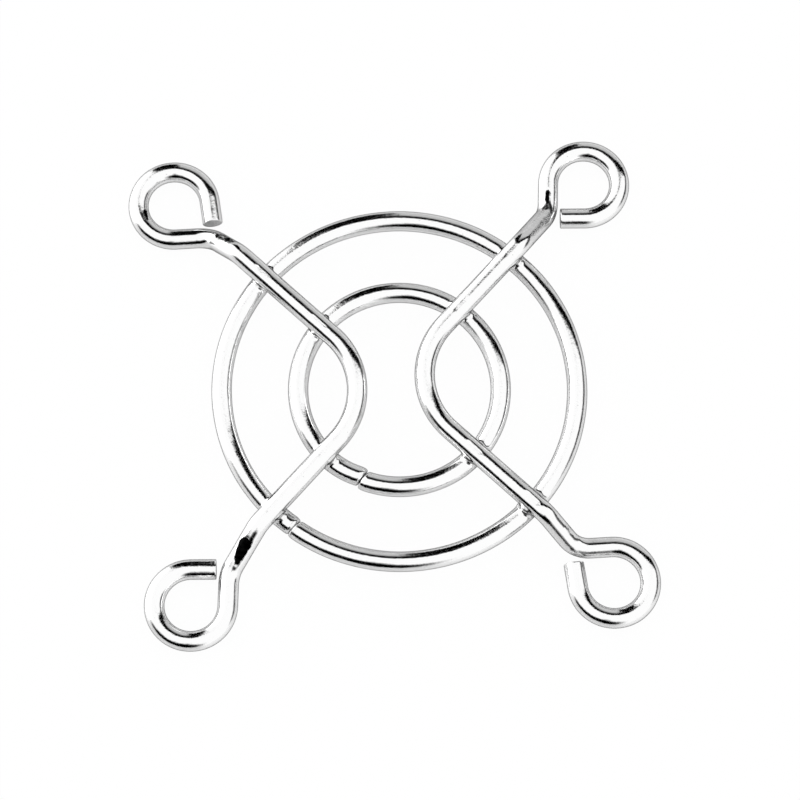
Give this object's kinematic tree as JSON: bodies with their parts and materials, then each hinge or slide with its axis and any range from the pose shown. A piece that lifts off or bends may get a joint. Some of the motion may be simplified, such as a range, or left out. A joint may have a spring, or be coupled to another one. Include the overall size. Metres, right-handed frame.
{
  "type": "wire fan guard",
  "caption": "Chrome-plated wire finger guard for a small axial fan: bent support wires with screw eyes, carrying concentric rings.",
  "frame": {"origin": "middle of the screw-eye pattern, on the plane that the eyes stand on", "axes": "+Z away from the fan, +X and +Y along the sides of the hole pattern; the vees of the two supports open towards -X and +X"},
  "size_m": [0.0392, 0.0392, 0.0039],
  "materials": {
    "plated_wire": "bright chrome plate over nickel on drawn steel wire"
  },
  "bodies": {
    "root": {"left_support_wire": "plated_wire", "right_support_wire": "plated_wire", "outer_ring": "plated_wire", "inner_ring": "plated_wire"}
  },
  "joints": []
}
